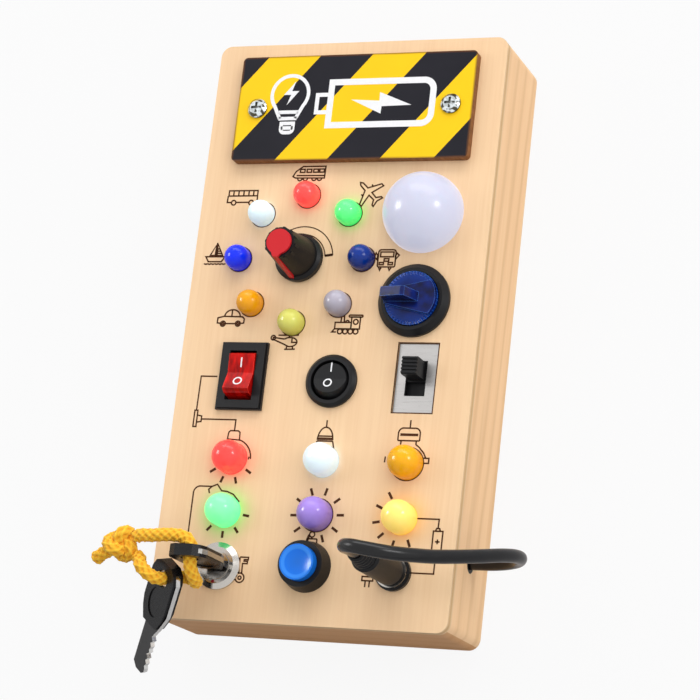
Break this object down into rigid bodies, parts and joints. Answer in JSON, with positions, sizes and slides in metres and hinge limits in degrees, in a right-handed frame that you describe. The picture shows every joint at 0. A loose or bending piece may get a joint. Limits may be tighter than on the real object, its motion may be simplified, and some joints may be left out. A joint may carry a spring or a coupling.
{
  "type": "wooden busy board",
  "caption": "Flat wooden box with lamps, dial, selector, rocker and slide switches, key lock, push button and plug-in lead on its face; lies on its back.",
  "frame": {"origin": "centre of the back face, the face that it rests on", "axes": "+X to the right of the face, +Y up the board, +Z out of the face; it lies on its back, face up"},
  "size_m": [0.1274, 0.1987, 0.0773],
  "materials": {
    "panel_wood": "pale fine-grained plywood, satin",
    "frame_wood": "pale wood with long grain, satin",
    "back_wood": "plain plywood",
    "block_wood": "raw wood",
    "sign_print": "plywood printed with yellow and black stripes, burnt edges",
    "steel": "bright zinc plated",
    "nickel": "polished nickel plate",
    "plate_metal": "brushed",
    "holder_plastic": "moulded black",
    "battery_skin": "plain printed sleeve",
    "pcb_green": "solder mask",
    "pcb_white": "white solder mask",
    "black_matte": "fine moulded grain",
    "black_gloss": "smooth moulding",
    "pointer_red": "smooth moulding",
    "lamp_white": "lit, diffused",
    "lamp_red": "lit, diffused",
    "lamp_green": "lit, diffused",
    "lamp_blue": "unlit, diffused",
    "lamp_navy": "unlit, diffused",
    "lamp_orange": "unlit, diffused",
    "lamp_lime": "unlit, diffused",
    "lamp_grey": "unlit, diffused",
    "lamp_violet": "unlit, diffused",
    "lamp_yellow": "lit, diffused",
    "dome_white": "milky diffuser",
    "selector_blue": "clear tinted plastic",
    "rocker_red": "clear tinted plastic",
    "cap_blue": "smooth moulding",
    "rope_yellow": "braided cord",
    "lead_black": "satin sheath"
  },
  "bodies": {
    "board": {"front_panel": "panel_wood", "body_frame": "frame_wood", "back_panel": "back_wood", "back_screws": "steel", "sign_plate": "sign_print", "sign_screws": "steel", "screw_blocks": "block_wood", "battery_holder": "holder_plastic", "batteries": "battery_skin", "battery_springs": "steel", "dial_body": "steel", "lamp_ring_white": "lamp_white", "lamp_ring_red": "lamp_red", "lamp_ring_green": "lamp_green", "lamp_ring_blue": "lamp_blue", "lamp_ring_navy": "lamp_navy", "lamp_ring_orange": "lamp_orange", "lamp_ring_lime": "lamp_lime", "lamp_ring_grey": "lamp_grey", "lamp_red": "lamp_red", "lamp_green": "lamp_green", "lamp_white": "lamp_white", "lamp_violet": "lamp_violet", "lamp_orange": "lamp_orange", "lamp_yellow": "lamp_yellow", "ring_board": "pcb_green", "lamp_board": "pcb_green", "board_standoffs": "steel", "dome_lens": "dome_white", "dome_board": "pcb_white", "selector_body": "black_matte", "rocker_frame": "black_matte", "round_frame": "black_matte", "slide_body": "black_matte", "slide_plate": "plate_metal", "switch_terminals": "steel", "panel_nuts": "nickel", "lock_barrel": "nickel", "button_body": "black_matte", "button_spring": "steel", "jack_socket": "black_matte", "plug_lead": "lead_black", "lead_grommet": "black_matte", "lead_inner": "lead_black"},
    "dial": {"dial_shaft": "steel", "dial_knob": "black_matte", "dial_cap": "pointer_red"},
    "selector": {"selector_knob": "selector_blue"},
    "red_rocker": {"rocker_button": "rocker_red"},
    "round_rocker": {"round_button": "black_gloss"},
    "slider": {"slide_knob": "black_matte"},
    "lock": {"lock_cylinder": "nickel"},
    "keys": {"key_blade": "nickel", "key_head": "black_gloss", "spare_key_blade": "nickel", "spare_key_head": "black_gloss", "key_rope": "rope_yellow"},
    "push_cap": {"button_cap": "cap_blue"},
    "plug": {"plug_grip": "black_matte", "plug_tip": "nickel"}
  },
  "joints": [
    {"name": "dial_turn", "type": "hinge", "parent": "board", "child": "dial", "pos_m": [-0.01178, 0.02066, 0.03], "axis": [0, 0, 1], "range_deg": [-40, 240]},
    {"name": "selector_turn", "type": "hinge", "parent": "board", "child": "selector", "pos_m": [0.02669, 0.00754, 0.03], "axis": [0, 0, 1], "range_deg": [-90, 0]},
    {"name": "red_rocker_tip", "type": "hinge", "parent": "board", "child": "red_rocker", "pos_m": [-0.02593, -0.01656, 0.029], "axis": [1, 0, 0], "range_deg": [0, 22]},
    {"name": "round_rocker_tip", "type": "hinge", "parent": "board", "child": "round_rocker", "pos_m": [0.00323, -0.01756, 0.029], "axis": [1, 0, 0], "range_deg": [0, 18]},
    {"name": "slider_slide", "type": "slide", "parent": "board", "child": "slider", "axis": [0, -1, 0], "range_m": [0, 0.0046]},
    {"name": "lock_turn", "type": "hinge", "parent": "board", "child": "lock", "pos_m": [-0.02612, -0.07474, 0.03], "axis": [0, 0, 1], "range_deg": [0, 90]},
    {"name": "key_pull", "type": "slide", "parent": "lock", "child": "keys", "axis": [0, 0, 1], "range_m": [0, 0.018]},
    {"name": "cap_press", "type": "slide", "parent": "board", "child": "push_cap", "axis": [0, 0, -1], "range_m": [0, 0.0024], "stiffness_N_per_m": 200, "springref_m": -0.001, "deforming": ["button_spring"]},
    {"name": "plug_pull", "type": "slide", "parent": "board", "child": "plug", "axis": [0, 0, 1], "range_m": [0, 0.01], "deforming": ["plug_lead"]}
  ]
}
